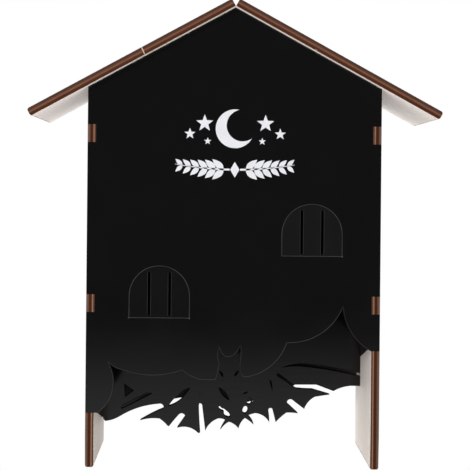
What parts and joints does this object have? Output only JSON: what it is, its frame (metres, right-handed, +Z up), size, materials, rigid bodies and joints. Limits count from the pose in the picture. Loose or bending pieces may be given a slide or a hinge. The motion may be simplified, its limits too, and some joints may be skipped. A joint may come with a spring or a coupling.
{
  "type": "bat box",
  "caption": "Gabled plywood bat box on two side-panel legs, with a bat-silhouette lower edge, slotted vent windows, an inner baffle and a rear roost gap.",
  "frame": {"origin": "middle of the footprint, on the ground under the feet", "axes": "+Z up, -Y towards the front, +X to the right seen from the front"},
  "size_m": [0.3904, 0.125, 0.4467],
  "materials": {
    "faced_plywood": "plywood with a smooth satin black face outside, a matt off-white face inside, and burnt brown cut edges",
    "stained_plywood": "plywood stained matt black, grain showing, with burnt dark edges",
    "zinc_steel": "zinc-plated steel, satin"
  },
  "bodies": {
    "root": {"front_panel": "faced_plywood", "back_panel": "stained_plywood", "left_side_panel": "faced_plywood", "right_side_panel": "faced_plywood", "left_roof_board": "faced_plywood", "right_roof_board": "faced_plywood", "bat_baffle": "stained_plywood", "left_hanger_plate": "zinc_steel", "right_hanger_plate": "zinc_steel", "left_lower_hanger_screw": "zinc_steel", "left_upper_hanger_screw": "zinc_steel", "right_lower_hanger_screw": "zinc_steel", "right_upper_hanger_screw": "zinc_steel"}
  },
  "joints": []
}
